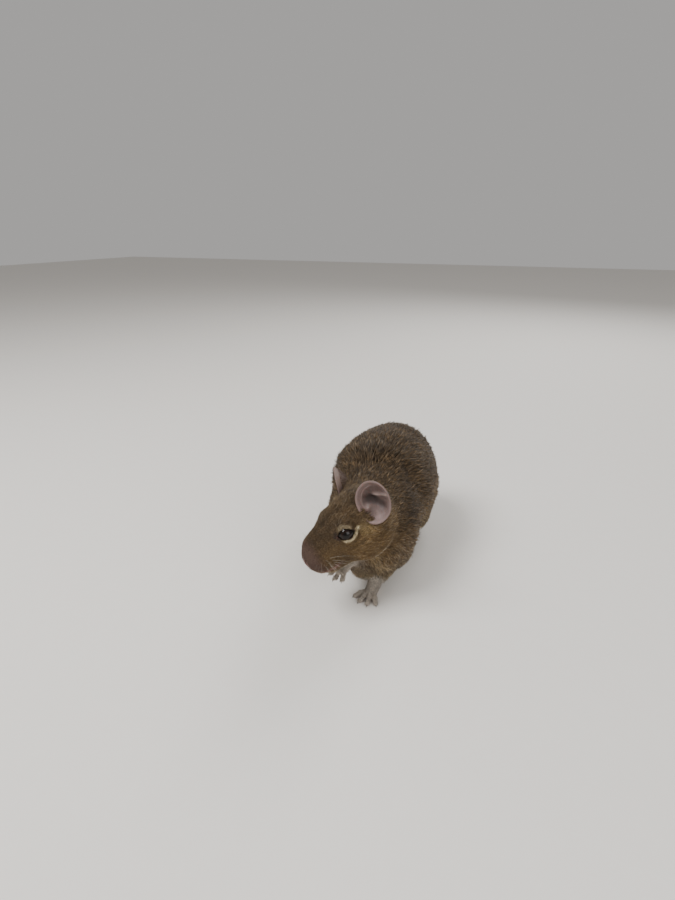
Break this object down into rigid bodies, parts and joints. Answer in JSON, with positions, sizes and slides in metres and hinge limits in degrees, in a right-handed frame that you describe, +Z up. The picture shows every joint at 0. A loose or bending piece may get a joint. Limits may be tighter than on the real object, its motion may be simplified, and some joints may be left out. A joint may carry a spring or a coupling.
{
  "type": "degu model",
  "caption": "Life-size still model of an adult degu standing with one forepaw lifted and its head turned aside, tail laid behind on the floor.",
  "frame": {"origin": "on the floor, under the centre of the model's bounding box", "axes": "+Z up, the body faces -Y with the tail towards +Y, the animal's own left side is +X; +Y is the longest extent"},
  "size_m": [0.0668, 0.2466, 0.0903],
  "materials": {
    "coat": "short dense fur, dark grizzled brown",
    "throat": "short pale fur",
    "brush": "long dark fur",
    "foot": "bare and thinly furred grey skin with claws",
    "nose": "bare matt skin",
    "ear": "thin, nearly bare mauve-grey skin",
    "eye": "wet black gloss"
  },
  "bodies": {
    "root": {"head": "coat", "neck": "coat", "chest": "coat", "loin": "coat", "rump": "coat", "thigh_left": "coat", "thigh_right": "coat", "shank_left": "coat", "shank_right": "coat", "upper_arm_left": "coat", "upper_arm_right": "coat", "forearm_left": "coat", "forearm_right": "coat", "lower_jaw": "throat", "tail_base": "coat", "tail_middle": "coat", "tail_brush": "brush", "forefoot_left": "foot", "forefoot_right": "foot", "hind_foot_left": "foot", "hind_foot_right": "foot", "nose_pad": "nose", "ear_left": "ear", "ear_right": "ear", "eye_left": "eye", "eye_right": "eye"}
  },
  "joints": []
}
